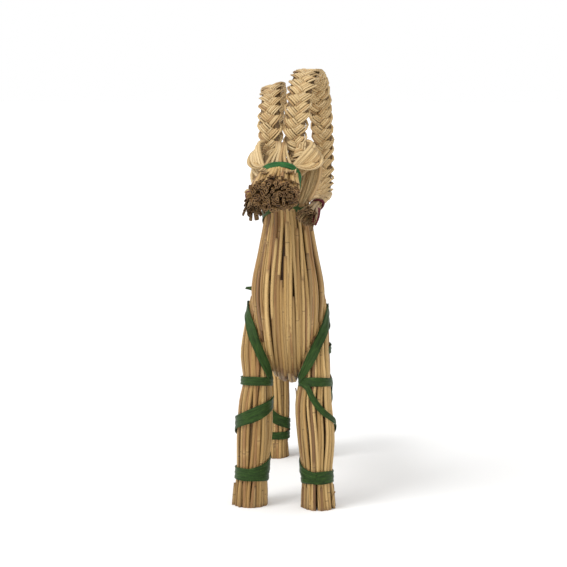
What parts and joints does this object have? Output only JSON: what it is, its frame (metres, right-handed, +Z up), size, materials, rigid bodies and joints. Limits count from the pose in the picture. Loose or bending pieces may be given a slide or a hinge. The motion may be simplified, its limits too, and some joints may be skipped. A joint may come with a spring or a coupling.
{
  "type": "straw goat ornament",
  "caption": "Standing goat bound from bundles of straw, with plaited curled horns and ribbon bindings; a table ornament.",
  "frame": {"origin": "middle of the footprint of the whole figure, on the surface that it stands on", "axes": "+Z up, -Y the way the goat faces, +X to the right as seen from the front; left and right in node names are as seen from the front"},
  "size_m": [0.0867, 0.27, 0.3591],
  "materials": {
    "straw": "dry rye straw, satin",
    "plait": "flattened rye straw, satin",
    "green_ribbon": "satin ribbon",
    "red_ribbon": "satin ribbon"
  },
  "bodies": {
    "root": {"body_bundle": "straw", "leg_front_left": "straw", "leg_front_right": "straw", "leg_hind_left": "straw", "leg_hind_right": "straw", "horn_left": "plait", "horn_right": "plait", "ribbon_head": "green_ribbon", "ribbon_throat": "green_ribbon", "ribbon_shoulder_left": "green_ribbon", "ribbon_shoulder_right": "green_ribbon", "ribbon_leg_front_left": "green_ribbon", "ribbon_leg_front_right": "green_ribbon", "ribbon_haunch_left": "green_ribbon", "ribbon_haunch_right": "green_ribbon", "ribbon_leg_hind_left": "green_ribbon", "ribbon_leg_hind_right": "green_ribbon", "ribbon_girth": "green_ribbon", "ribbon_tail": "green_ribbon", "ribbon_withers": "green_ribbon", "tie_horn_left": "red_ribbon", "tie_horn_right": "red_ribbon"}
  },
  "joints": []
}
